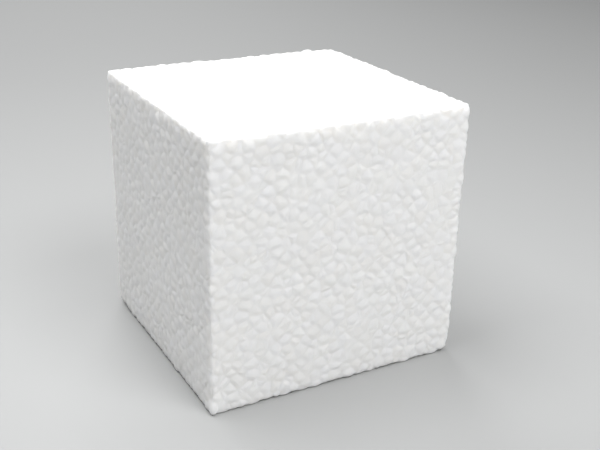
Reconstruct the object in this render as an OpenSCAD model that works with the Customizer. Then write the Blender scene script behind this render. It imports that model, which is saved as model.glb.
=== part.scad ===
// Foam block: one solid piece of white expanded polystyrene, cut close to a cube.
//
// The block stands on its base with +Z up. The origin is the centre of the base, +X runs along
// the width and +Y along the depth, so the front face is the one at -Y. All sizes are in
// millimetres. Every edge is slightly rounded, three corners are rubbed off, and one bead is
// missing from the left top edge.

/* [Block] */
// Width, along X
block_w = 101.5; // [60:0.5:160]
// Depth, along Y
block_d = 98; // [60:0.5:160]
// Height, along Z
block_h = 100; // [60:0.5:160]

/* [Edges] */
// Radius of the four upright edges
upright_r = 1.6; // [0.5:0.1:4]
// Radius of the four edges along the width
along_width_r = 2; // [0.5:0.1:4]
// Radius of the four edges along the depth
along_depth_r = 1.8; // [0.5:0.1:4]

/* [Wear] */
// How far the worst rubbed corner is cut back from the sharp corner, along its diagonal
corner_wear = 2.6; // [1.5:0.1:4]
// Radius of the hollow that the missing bead left
bead_r = 1.7; // [1:0.1:3]
// Where the missing bead was, as a share of the depth from the front
bead_place = 0.48; // [0.1:0.01:0.9]

/* [Hidden] */
// Rubbed corners: the side of the block on X, Y and Z, then the share of corner_wear
rubbed = [
    [-1, 1, -1, 1],
    [1, -1, -1, 0.85],
    [1, 1, 1, 0.75]
];
// Edge length of the cube that shaves a corner off
shave = 20;
// How far the centre of the missing bead lay below both faces of its edge, as a share of bead_r
bead_depth = 0.35;
// Sides on a full circle
$fn = 64;

// A rectangle centred on the origin, with round corners
module rounded_rectangle(x, y, r) {
    for (i = [-1, 1], j = [-1, 1]) {
        translate([i * (x / 2 - r), j * (y / 2 - r)])
            circle(r);
    }
    square([x - 2 * r, y], center = true);
    square([x, y - 2 * r], center = true);
}

// The block with round edges, centred on the origin: each prism rounds the four edges along it
module rounded_block() {
    intersection() {
        linear_extrude(block_h, center = true)
            rounded_rectangle(block_w, block_d, upright_r);
        rotate([90, 0, 0])
            linear_extrude(block_d, center = true)
                rounded_rectangle(block_w, block_h, along_depth_r);
        rotate([0, 90, 0])
            linear_extrude(block_w, center = true)
                rounded_rectangle(block_h, block_d, along_width_r);
    }
}

// A cube with one face square to the diagonal of the corner at side, cutting off what lies
// within wear of the sharp corner
module corner_shave(side, wear) {
    corner = [side.x * block_w, side.y * block_d, side.z * block_h] / 2;
    outward = side / norm(side);
    turn = atan2(outward.y, outward.x);
    lean = acos(outward.z);
    translate(corner - outward * wear)
        rotate([0, lean, turn])
            translate([-shave / 2, -shave / 2, 0])
                cube(shave);
}

// The hollow left by the bead that fell out of the left top edge
module missing_bead() {
    below = bead_depth * bead_r;
    translate([below - block_w / 2, (bead_place - 0.5) * block_d, block_h / 2 - below])
        sphere(bead_r);
}

module foam_block() {
    color("white")
        translate([0, 0, block_h / 2])
            difference() {
                rounded_block();
                for (r = rubbed) {
                    corner_shave([r[0], r[1], r[2]], corner_wear * r[3]);
                }
                missing_bead();
            }
}

foam_block();
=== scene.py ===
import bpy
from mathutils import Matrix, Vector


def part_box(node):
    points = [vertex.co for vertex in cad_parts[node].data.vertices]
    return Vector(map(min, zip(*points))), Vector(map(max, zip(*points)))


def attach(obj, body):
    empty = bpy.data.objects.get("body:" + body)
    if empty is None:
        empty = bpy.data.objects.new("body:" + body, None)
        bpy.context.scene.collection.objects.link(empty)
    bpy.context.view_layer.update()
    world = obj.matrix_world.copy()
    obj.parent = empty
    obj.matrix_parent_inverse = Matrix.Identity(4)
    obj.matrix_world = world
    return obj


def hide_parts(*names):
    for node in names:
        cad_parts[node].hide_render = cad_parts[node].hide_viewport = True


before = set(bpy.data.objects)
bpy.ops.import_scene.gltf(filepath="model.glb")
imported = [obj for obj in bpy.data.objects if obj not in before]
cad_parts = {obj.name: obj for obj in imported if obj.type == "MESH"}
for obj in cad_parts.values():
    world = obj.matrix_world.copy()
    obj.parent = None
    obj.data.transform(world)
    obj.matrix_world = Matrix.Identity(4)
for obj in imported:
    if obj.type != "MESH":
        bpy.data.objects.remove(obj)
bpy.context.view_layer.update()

# A block of expanded polystyrene. Its skin is one closed mesh, cut from a packing of beads: the
# centres of the beads are scattered in space, each face of the block cuts through them, and each
# bead's patch of skin is a low dome with a groove round it. A bead on an edge of the block keeps
# one patch that bends over the edge. Lengths are in millimetres about the block's centre until
# the mesh is made, in metres.
import math
from itertools import product

import bpy
import numpy as np
from mathutils import Matrix, Vector, kdtree, noise

MM = 0.001
SEED = 7

# Packing of the beads
BEAD_GAP = 3.5  # least distance between the centres of two beads
BEAD_LAYER = 4.4  # beads are scattered this far below and above the skin
SIZE_VARIES = 0.8  # most that a bead gains or loses as a square, which makes beads large and small
FILL_ROUNDS = 5  # times that every empty place is offered a bead
SAMPLE_STEP = 0.5  # spacing of the points that tell which beads show
LEAST_SAMPLES = 10  # a bead that shows at fewer points is left out
MOST_NEIGHBOURS = 70  # more than the beads that can bound a patch
NEAREST = 4  # beads looked at to find the one that a point of the skin belongs to
ON_FACE = 1e-6  # a point this close to a face of the sharp box lies on it
WELD = 0.16  # corners of outlines closer together than this become one
LONG_SIDE = 2.3  # a longer side of an outline gets a point in its middle
SIDE_BOW = 0.07  # how far that point may lie off the side, as a share of its length

# Relief of the skin
EDGE_RADIUS = 1.5
EDGE_VARIES = 0.2  # how much the edge radius varies along the edges, as a share of it
EDGE_LENGTH = 9  # length along an edge over which it varies
RELIEF = 0.4  # depth of the groove round a bead, before the softening
RELIEF_SPREAD = (0.7, 1.3)  # how much it differs from bead to bead, as shares of it
RELIEF_VARIES = 0.6  # how much it differs from place to place, as a share of it
RELIEF_LENGTH = 16  # size of the places with more or less relief
COMMON_SIZE = 1.9  # radius of the patch of a bead that stands to the full height above the groove
SIZE_SHARES = (0.2, 1.2)  # the least and the most of that height on small and large beads
LEVEL = -0.06  # mean height of the tops of the beads
LEVEL_VARIES = 0.05
EDGE_LEVEL_VARIES = 0.14  # and on the beads at the edges of the block
TILT = 0.04  # slope of a bead's top
WAVE = 0.12  # height of the long waves left by the cut
WAVE_LENGTH = 24  # size of those waves
GROOVE_SPREAD = (0.85, 1.15)  # how much the depth differs along the grooves, as shares of it
PIT_SHARE = 0.06  # share of the corners between beads that are open pits
PIT_DEPTH = 0.38  # of a pit below the groove
PIT_SPREAD = (0.5, 1.3)  # how much it differs from pit to pit, as shares of it
SOFTENING = 0.5  # how far each point is drawn towards the mean height of the points round it
FIELD_OFFSETS = {"wave": 0, "edge": 40, "relief": 80}  # keep the noise fields apart

# Mesh of a patch
FOLD_STEP = 1.1  # spacing of the points where a patch folds over an edge of the block
RINGS = (0.27, 0.62)  # places of a patch's rings of points, as shares of the way to its middle
ONE_RING = (0.4,)  # the same on a smaller patch
TWO_RING_AREA = 5  # a smaller patch has one ring
ONE_RING_AREA = 1.6  # a smaller patch has only a middle point
TINY = 1e-6  # keeps areas and squared lengths away from nought
MAP_MARGIN = 0.01  # of each face's place on the colour map

# Looks
SCATTER = 2.6  # how far light soaks into the foam
SCATTER_COLOUR = (1.0, 0.985, 0.96)
FOAM_IOR = 1.45
FOAM_LIGHT = (0.952, 0.945, 0.93)  # colour of the lightest beads
FOAM_DARK = (0.907, 0.9, 0.885)  # and of the least light ones
ROUGHNESS = (0.3, 0.45)  # from the least light to the lightest bead
CELL_SIZE = 0.25  # of the fine cells within a bead, which are bump
CELL_DEPTH = 0.05
CELL_STRENGTH = 0.25
FLOOR_COLOUR = (0.42, 0.425, 0.425)
FLOOR_ROUGHNESS = 0.6
FLOOR_SHINE = 0.2
FLOOR_REACH = 4.0  # in metres

# Camera: its place in block heights from the middle of the base, and its turns in degrees
CAMERA_PLACE = (-1.583, -2.996, 1.884)
LOOK_AZIMUTH = 29.3
LOOK_DOWN = 23.06
LOOK_ROLL = 1.46
CAMERA_FOCUS = 1.561  # focal length as a share of the sensor's width
SENSOR = 36

# Lights: name, place and size in metres, and power in watts
LIGHTS = [
    ("front", (0.1, -0.75, 0.6), 0.5, 1.75),
    ("front_above", (0.13, -0.42, 0.68), 0.35, 2.85),
    ("left_above", (-0.13, 0.03, 0.48), 0.25, 1.5),
    ("back", (0.1, 0.9, 0.8), 0.8, 7.0),
]
WORLD_LIGHT = 0.3

FACES = [(axis, side) for axis in range(3) for side in (-1, 1)]
low, high = (np.array(corner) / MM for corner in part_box("foam_block"))
block_centre = (low + high) / 2
half = (high - low) / 2

# Wear: corners rubbed round, as side of the block on X, Y and Z, then the radius added there
RUBBED = [((-1, 1, -1), 1.7), ((1, -1, -1), 1.2), ((1, 1, 1), 0.8)]
RUB_REACH = 6  # how far from the corner the rubbing fades out
# The bead missing from the left top edge
MISSING_PLACE = 0.48  # along that edge, as a share of the depth from the front
MISSING_CHOICE = 4  # the largest of this many beads nearest to the place is the one that's gone
MISSING_RIM = 0.45  # how far the rim of its hollow lies below the skin
MISSING_DEPTH = 2.4


def flat_axes(axis):
    """The two axes that lie in a face across the given one."""
    return [a for a in range(3) if a != axis]


def skin_distance(points):
    """How far points lie outside the sharp box, or below its skin as a minus."""
    beyond = np.abs(points) - half
    outside = np.linalg.norm(np.maximum(beyond, 0), axis=-1)
    return outside + np.minimum(beyond.max(-1), 0)


def tree_of(points):
    """A search tree that finds the points near a place."""
    tree = kdtree.KDTree(len(points))
    for i, point in enumerate(points):
        tree.insert(point, i)
    tree.balance()
    return tree


def scatter_beads(rng):
    """Centres at random in a layer about the skin, none closer together than BEAD_GAP."""
    step = BEAD_GAP / math.sqrt(3)  # a cell of this size holds one centre at most
    reach = np.ceil((half + BEAD_LAYER) / step).astype(int) + 3
    grid = np.full((*(2 * reach), 3), np.inf)
    cells = np.stack(np.meshgrid(*[np.arange(2, 2 * n - 2) for n in reach], indexing="ij"), -1)
    cells = cells.reshape(-1, 3)
    cells = cells[np.abs(skin_distance((cells + 0.5 - reach) * step)) < BEAD_LAYER]
    # Cells three apart can't hold centres that are too close, so they are filled together.
    groups = [cells[(cells % 3 == phase).all(1)] for phase in product(range(3), repeat=3)]
    around = [np.array(offset) for offset in product(range(-2, 3), repeat=3) if any(offset)]
    for _ in range(FILL_ROUNDS):
        for group in groups:
            empty = group[np.isinf(grid[tuple(group.T)][:, 0])]
            tries = (empty + rng.random(empty.shape) - reach) * step
            free = np.ones(len(tries), bool)
            for offset in around:
                there = grid[tuple((empty + offset).T)]
                free &= ((there - tries) ** 2).sum(1) >= BEAD_GAP**2
            grid[tuple(empty[free].T)] = tries[free]
    return grid[np.isfinite(grid[..., 0])]


def only_showing(beads, gains):
    """The beads that a fair part of the skin belongs to, and their gains."""
    tree = tree_of(beads)
    seen = np.zeros(len(beads), int)
    for axis, side in FACES:
        u, v = flat_axes(axis)
        across, along = (np.arange(-half[a] + SAMPLE_STEP / 2, half[a], SAMPLE_STEP) for a in (u, v))
        points = np.full((len(across), len(along), 3), side * half[axis])
        points[..., u], points[..., v] = np.meshgrid(across, along, indexing="ij")
        for point in points.reshape(-1, 3):
            near = tree.find_n(point, NEAREST)
            seen[min(near, key=lambda found: found[2] ** 2 - gains[found[1]])[1]] += 1
    shows = seen >= LEAST_SAMPLES
    return beads[shows], gains[shows]


def clipped(outline, a, b, limit):
    """The part of a convex outline where a * x + b * y is at most limit."""
    over = [a * x + b * y - limit for x, y in outline]
    if max(over) <= 0:
        return outline
    kept = []
    for k, (x, y) in enumerate(outline):
        if (over[k] > 0) != (over[k - 1] > 0):
            share = over[k - 1] / (over[k - 1] - over[k])
            x0, y0 = outline[k - 1]
            kept.append((x0 + share * (x - x0), y0 + share * (y - y0)))
        if over[k] <= 0:
            kept.append((x, y))
    return kept


def outline_on_face(i, beads, gains, tree, axis, side):
    """Where the face cuts through bead i, as corners in the face's own two axes."""
    u, v = flat_axes(axis)
    bead = beads[i]
    height = bead[axis] - side * half[axis]
    outline = [(-half[u], -half[v]), (half[u], -half[v]), (half[u], half[v]), (-half[u], half[v])]
    for _, j, gap in tree.find_n(bead, MOST_NEIGHBOURS):
        if j == i:
            continue
        reach = max((x - bead[u]) ** 2 + (y - bead[v]) ** 2 for x, y in outline) + height**2
        if gap > math.sqrt(reach) + math.sqrt(reach + 2 * SIZE_VARIES):
            break
        other = beads[j]
        far = other[u] ** 2 + other[v] ** 2 + (other[axis] - side * half[axis]) ** 2 - gains[j]
        near = bead[u] ** 2 + bead[v] ** 2 + height**2 - gains[i]
        outline = clipped(outline, 2 * (other[u] - bead[u]), 2 * (other[v] - bead[v]), far - near)
        if not outline:
            break
    return outline


def cut_faces(beads, gains):
    """Every patch of skin: its bead, its face, and its corners in order round the outside."""
    tree = tree_of(beads)
    patches = []
    for axis, side in FACES:
        u, v = flat_axes(axis)
        turned = (side < 0) != (axis == 1)
        for i in np.flatnonzero(np.abs(beads[:, axis] - side * half[axis]) < BEAD_LAYER):
            outline = outline_on_face(i, beads, gains, tree, axis, side)
            if len(outline) < 3:
                continue
            corners = np.full((len(outline), 3), side * half[axis])
            corners[:, [u, v]] = outline
            patches.append((i, (axis, side), corners[::-1] if turned else corners))
    return patches


def weld(patches):
    """Gives each patch's corners as numbers of shared points, and the places of those points."""
    points = np.concatenate([corners for _, _, corners in patches])
    tree = tree_of(points)
    root = list(range(len(points)))

    def find(i):
        while root[i] != i:
            root[i] = root[root[i]]
            i = root[i]
        return i

    for i, point in enumerate(points):
        for _, j, _ in tree.find_range(point, WELD):
            a, b = find(i), find(j)
            root[max(a, b)] = min(a, b)
    roots, shared = np.unique([find(i) for i in range(len(points))], return_inverse=True)
    places = np.zeros((len(roots), 3))
    np.add.at(places, shared, points)
    places /= np.bincount(shared)[:, None]
    # A point that merged with one on an edge of the block lies on that edge.
    for axis, side in FACES:
        on_face = np.abs(points[:, axis] - side * half[axis]) < ON_FACE
        places[shared[on_face], axis] = side * half[axis]
    loops, start = [], 0
    for bead, face, corners in patches:
        numbers = shared[start : start + len(corners)]
        start += len(corners)
        loop = [int(n) for k, n in enumerate(numbers) if n != numbers[k - 1]]
        if len(set(loop)) > 2:
            loops.append((bead, face, loop))
    return loops, list(places)


def faces_at(place):
    """The faces of the sharp box that a point lies on."""
    return {(axis, side) for axis, side in FACES if place[axis] == side * half[axis]}


def points_in_side(a, b, places, folds, rng):
    """Adds points between two corners of an outline, and returns their numbers. Where the patch
    folds over an edge of the block they are evenly spaced, and a long groove has one, off line."""
    along = places[b] - places[a]
    length = np.linalg.norm(along)
    shared = list(faces_at(places[a]) & faces_at(places[b]))
    count = math.ceil(length / FOLD_STEP) - 1 if folds else int(length > LONG_SIDE)
    off = np.zeros(3)
    if len(shared) == 1:
        off[shared[0][0]] = 1
        off = np.cross(off, along) * rng.uniform(-SIDE_BOW, SIDE_BOW)
    first = len(places)
    for k in range(count):
        places.append(places[a] + along * (k + 1) / (count + 1) + off)
    return list(range(first, len(places)))


def split_sides(loops, places, rng):
    """Puts the points in the sides of the outlines, and returns the outlines, the sides that are
    grooves between two beads, and which bead each point on a fold lies on."""
    owners = {}
    for bead, _, loop in loops:
        for k, end in enumerate(loop):
            owners.setdefault((min(loop[k - 1], end), max(loop[k - 1], end)), []).append(bead)
    added, grooves, on_fold = {}, set(), {}
    for (a, b), pair in sorted(owners.items()):
        folds = pair[0] == pair[1]
        added[a, b] = points_in_side(a, b, places, folds, rng)
        if folds:
            on_fold.update({n: pair[0] for n in added[a, b]})
        else:
            line = [a, *added[a, b], b]
            grooves |= {(min(ends), max(ends)) for ends in zip(line, line[1:])}
    full = []
    for bead, face, loop in loops:
        line = []
        for k, end in enumerate(loop):
            start = loop[k - 1]
            line += added[start, end] if start < end else added[end, start][::-1]
            line.append(end)
        full.append((bead, face, line))
    return full, grooves, on_fold


def middle_and_area(corners):
    """Centre of area and area of a flat patch."""
    fan = np.cross(corners[1:-1] - corners[0], corners[2:] - corners[0])
    areas = np.linalg.norm(fan, axis=1) / 2
    if areas.sum() < TINY:
        return corners.mean(0), 0.0
    thirds = (corners[0] + corners[1:-1] + corners[2:]) / 3
    return (thirds * areas[:, None]).sum(0) / areas.sum(), areas.sum()


def rings_for(area):
    """Where the rings of points lie in a patch of the given area."""
    if area > TWO_RING_AREA:
        return RINGS
    return ONE_RING if area > ONE_RING_AREA else ()


def fill_patches(loops, places):
    """Fills each outline with rings of faces round a fan. Returns the faces, as the numbers of
    their points with their bead and side of the box, each bead's area, and the bead of each
    point that isn't on an outline."""
    faces, areas, within = [], {}, {}
    for bead, face, loop in loops:
        corners = np.array([places[n] for n in loop])
        middle, area = middle_and_area(corners)
        areas[bead] = areas.get(bead, 0) + area
        first = len(places)
        outer = loop
        for inset in rings_for(area):
            ring = list(range(len(places), len(places) + len(loop)))
            places += list(corners + (middle - corners) * inset)
            for k, end in enumerate(outer):
                faces.append(([outer[k - 1], end, ring[k], ring[k - 1]], bead, face))
            outer = ring
        for k, end in enumerate(outer):
            faces.append(([outer[k - 1], end, len(places)], bead, face))
        places.append(middle)
        within.update({n: bead for n in range(first, len(places))})
    return faces, areas, within


def distance_to_lines(points, starts, ends):
    """Least distance from each point to any of the lines."""
    along = ends - starts
    square = np.maximum((along**2).sum(1), TINY**2)
    off = points[:, None] - starts
    share = np.clip((off * along).sum(2) / square, 0, 1)
    return np.linalg.norm(off - share[..., None] * along, axis=2).min(1)


def missing_bead(beads, areas):
    """The largest of the beads near the place of the missing one."""
    place = np.array([-half[0], (2 * MISSING_PLACE - 1) * half[1], half[2]])
    near = np.argsort(np.linalg.norm(beads - place, axis=1))[:MISSING_CHOICE]
    return max(near, key=lambda bead: areas.get(bead, 0))


def field(points, length, name):
    """Smooth noise from about -1 to 1, with features of about the given length."""
    offset = Vector((FIELD_OFFSETS[name], 0, 0))
    return np.array([noise.noise(Vector(p / length) + offset) for p in points])


def set_heights(beads, loops, grooves, places, areas, within, rng):
    """How far each point stands above the skin: a dome on each bead, and the grooves between."""
    count = len(beads)
    size = np.sqrt(np.array([areas.get(i, 1) for i in range(count)]) / math.pi)
    near_skin = np.abs(np.abs(beads) - half) < BEAD_GAP / 2
    varies = np.where(near_skin.sum(1) > 1, EDGE_LEVEL_VARIES, LEVEL_VARIES)
    level = LEVEL + rng.normal(0, 1, count) * varies
    depth = RELIEF * rng.uniform(*RELIEF_SPREAD, count)
    depth *= 1 + RELIEF_VARIES * field(beads, RELIEF_LENGTH, "relief")
    relief = depth * np.clip(size / COMMON_SIZE, *SIZE_SHARES)
    level -= depth - relief  # the grooves are as deep round a small bead, so its top is lower
    slope = rng.normal(0, TILT, (count, 3))
    gone = missing_bead(beads, areas)
    level[gone], relief[gone], slope[gone] = -MISSING_DEPTH, MISSING_RIM - MISSING_DEPTH, 0

    lines, meets, mine = {}, {}, {}
    for bead, _, loop in loops:
        for k, end in enumerate(loop):
            meets.setdefault(end, set()).add(bead)
            ends = (min(loop[k - 1], end), max(loop[k - 1], end))
            if ends in grooves:
                lines.setdefault(bead, []).append(ends)
    for n, bead in within.items():
        mine.setdefault(bead, []).append(n)

    heights = np.zeros(len(places))
    for bead, numbers in mine.items():
        ends = places[np.array(lines[bead])]
        inset = distance_to_lines(places[numbers], ends[:, 0], ends[:, 1])
        rise = np.clip(inset / size[bead], 0, 1)
        middle = places[numbers].mean(0)
        dome = level[bead] - relief[bead] * (1 - rise) ** 2
        heights[numbers] = dome + (places[numbers] - middle) @ slope[bead]
    for n, around in meets.items():
        if n not in within:
            around = list(around)
            groove = (level[around] - relief[around]).mean() * rng.uniform(*GROOVE_SPREAD)
            pit = len(around) > 2 and rng.random() < PIT_SHARE
            heights[n] = groove - (PIT_DEPTH * rng.uniform(*PIT_SPREAD) if pit else 0)
    return heights


def softened(heights, faces):
    """Heights with each point drawn towards the mean of the points round it."""
    ends = np.array([(ring[k - 1], n) for ring, _, _ in faces for k, n in enumerate(ring)])
    ends = np.concatenate([ends, ends[:, ::-1]])
    total = np.bincount(ends[:, 0], heights[ends[:, 1]], len(heights))
    around = total / np.maximum(np.bincount(ends[:, 0], minlength=len(heights)), 1)
    return heights + SOFTENING * (around - heights)


def on_rounded_box(points):
    """Moves points of the sharp box's skin to the box with round edges, and gives its normals."""
    radius = EDGE_RADIUS * (1 + EDGE_VARIES * field(points, EDGE_LENGTH, "edge"))
    for sides, more in RUBBED:
        apart = np.linalg.norm(points - np.array(sides) * half, axis=1)
        radius += more * np.exp(-((apart / RUB_REACH) ** 2))
    core = np.clip(points, radius[:, None] - half, half - radius[:, None])
    outward = points - core
    outward /= np.linalg.norm(outward, axis=1)[:, None]
    return core + outward * radius[:, None], outward


def map_place(place, axis, side):
    """Where a point of one face lies on the colour map, which holds the six faces in two rows."""
    u, v = flat_axes(axis)
    across = 0.5 + place[u] / half[u] / 2
    if (side < 0) != (axis == 1):
        across = 1 - across
    along = 0.5 + place[v] / half[v] / 2
    wide, tall = 1 / 3, 1 / 2
    return (
        (axis + MAP_MARGIN + across * (1 - 2 * MAP_MARGIN)) * wide,
        ((side > 0) + MAP_MARGIN + along * (1 - 2 * MAP_MARGIN)) * tall,
    )


def make_block():
    """The whole block as one closed mesh that stands for the CAD node."""
    rng = np.random.default_rng(SEED)
    beads = scatter_beads(rng)
    beads, gains = only_showing(beads, rng.uniform(-SIZE_VARIES, SIZE_VARIES, len(beads)))
    loops, places = weld(cut_faces(beads, gains))
    loops, grooves, within = split_sides(loops, places, rng)
    faces, areas, inside = fill_patches(loops, places)
    within.update(inside)
    places = np.array(places)
    heights = set_heights(beads, loops, grooves, places, areas, within, rng)
    heights = softened(heights, faces)
    skin, outward = on_rounded_box(places)
    heights += WAVE * field(places, WAVE_LENGTH, "wave")
    skin += outward * heights[:, None]
    skin[:, 2] = np.maximum(skin[:, 2], -half[2])  # the beads that reach the floor are flat

    mesh = bpy.data.meshes.new("foam")
    mesh.from_pydata(((skin + block_centre) * MM).tolist(), [], [ring for ring, _, _ in faces])
    mesh.validate()
    mesh.shade_smooth()
    tone = rng.random(len(beads))
    mesh.attributes.new("bead_tone", "FLOAT", "FACE").data.foreach_set(
        "value", np.array([tone[bead] for _, bead, _ in faces], np.float32)
    )
    layer = mesh.uv_layers.new(name="OFBake")
    uv = [map_place(places[n], *face) for ring, _, face in faces for n in ring]
    layer.uv.foreach_set("vector", np.array(uv, np.float32).ravel())
    block = bpy.data.objects.new("bead_foam_block", mesh)
    bpy.context.scene.collection.objects.link(block)
    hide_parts("foam_block")
    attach(block, "root")
    return block


def new_material(name):
    """A node material, with its nodes, its links and its Principled shader."""
    material = bpy.data.materials.new(name)
    material.use_nodes = True
    tree = material.node_tree
    return material, tree.nodes, tree.links, tree.nodes["Principled BSDF"]


def foam_material():
    """White bead foam: a dull, light-soaking skin with fine cells, a little different on each bead."""
    material, nodes, links, shader = new_material("bead_foam")
    shader.inputs["Subsurface Weight"].default_value = 1.0
    shader.inputs["Subsurface Radius"].default_value = SCATTER_COLOUR
    shader.inputs["Subsurface Scale"].default_value = SCATTER * MM
    shader.inputs["IOR"].default_value = FOAM_IOR
    shader.inputs["Specular IOR Level"].default_value = 0.5

    tone = nodes.new("ShaderNodeAttribute")
    tone.attribute_name = "bead_tone"
    colour = nodes.new("ShaderNodeMix")
    colour.data_type = "RGBA"
    colour.inputs["A"].default_value = (*FOAM_DARK, 1)
    colour.inputs["B"].default_value = (*FOAM_LIGHT, 1)
    links.new(tone.outputs["Fac"], colour.inputs["Factor"])
    links.new(colour.outputs["Result"], shader.inputs["Base Color"])

    place = nodes.new("ShaderNodeTexCoord")
    rough = nodes.new("ShaderNodeMapRange")
    rough.inputs["To Min"].default_value = ROUGHNESS[0]
    rough.inputs["To Max"].default_value = ROUGHNESS[1]
    links.new(tone.outputs["Fac"], rough.inputs["Value"])
    links.new(rough.outputs["Result"], shader.inputs["Roughness"])

    cells = nodes.new("ShaderNodeTexVoronoi")
    cells.inputs["Scale"].default_value = 1 / (CELL_SIZE * MM)
    links.new(place.outputs["Object"], cells.inputs["Vector"])
    bump = nodes.new("ShaderNodeBump")
    bump.inputs["Strength"].default_value = CELL_STRENGTH
    bump.inputs["Distance"].default_value = CELL_DEPTH * MM
    bump.invert = True
    links.new(cells.outputs["Distance"], bump.inputs["Height"])
    links.new(bump.outputs["Normal"], shader.inputs["Normal"])
    return material


def floor_material():
    """Plain pale grey, hardly shiny."""
    material, nodes, links, shader = new_material("pale_floor")
    shader.inputs["Base Color"].default_value = (*FLOOR_COLOUR, 1)
    shader.inputs["Roughness"].default_value = FLOOR_ROUGHNESS
    shader.inputs["Specular IOR Level"].default_value = FLOOR_SHINE
    return material


def make_floor():
    """A flat square at the height of the block's base."""
    mesh = bpy.data.meshes.new("floor")
    signs = [(-1, -1), (1, -1), (1, 1), (-1, 1)]
    corners = [(x * FLOOR_REACH, y * FLOOR_REACH, 0) for x, y in signs]
    mesh.from_pydata(corners, [], [(0, 1, 2, 3)])
    floor = bpy.data.objects.new("floor", mesh)
    bpy.context.scene.collection.objects.link(floor)
    mesh.materials.append(floor_material())


def make_camera():
    """The camera at the photograph's viewing angle."""
    camera = bpy.data.objects.new("camera", bpy.data.cameras.new("camera"))
    camera.data.sensor_width = SENSOR
    camera.data.lens = SENSOR * CAMERA_FOCUS
    camera.data.clip_start = 0.01
    turn = Matrix.Rotation(-math.radians(LOOK_AZIMUTH), 4, "Z")
    tilt = Matrix.Rotation(math.radians(90 - LOOK_DOWN), 4, "X")
    roll = Matrix.Rotation(math.radians(LOOK_ROLL), 4, "Z")
    place = Matrix.Translation(Vector(CAMERA_PLACE) * 2 * half[2] * MM)
    camera.matrix_world = place @ turn @ tilt @ roll
    bpy.context.scene.collection.objects.link(camera)
    bpy.context.scene.camera = camera


def make_light(name, place, size, power):
    """A square soft light that faces the middle of the block."""
    light = bpy.data.lights.new(name, "AREA")
    light.size = size
    light.energy = power
    lamp = bpy.data.objects.new(name, light)
    lamp.location = place
    aim = Vector(block_centre * MM) - lamp.location
    lamp.rotation_euler = aim.to_track_quat("-Z", "Y").to_euler()
    bpy.context.scene.collection.objects.link(lamp)


def make_lights():
    """The lamps, and a pale world that fills in the shadows."""
    for name, place, size, power in LIGHTS:
        make_light(name, place, size, power)
    world = bpy.data.worlds.new("studio")
    world.use_nodes = True
    back = world.node_tree.nodes["Background"]
    back.inputs["Color"].default_value = (1, 1, 1, 1)
    back.inputs["Strength"].default_value = WORLD_LIGHT
    scene = bpy.context.scene
    scene.world = world
    scene.view_settings.view_transform = "Standard"


block = make_block()
block.data.materials.append(foam_material())
make_floor()
make_camera()
make_lights()

bpy.context.view_layer.update()
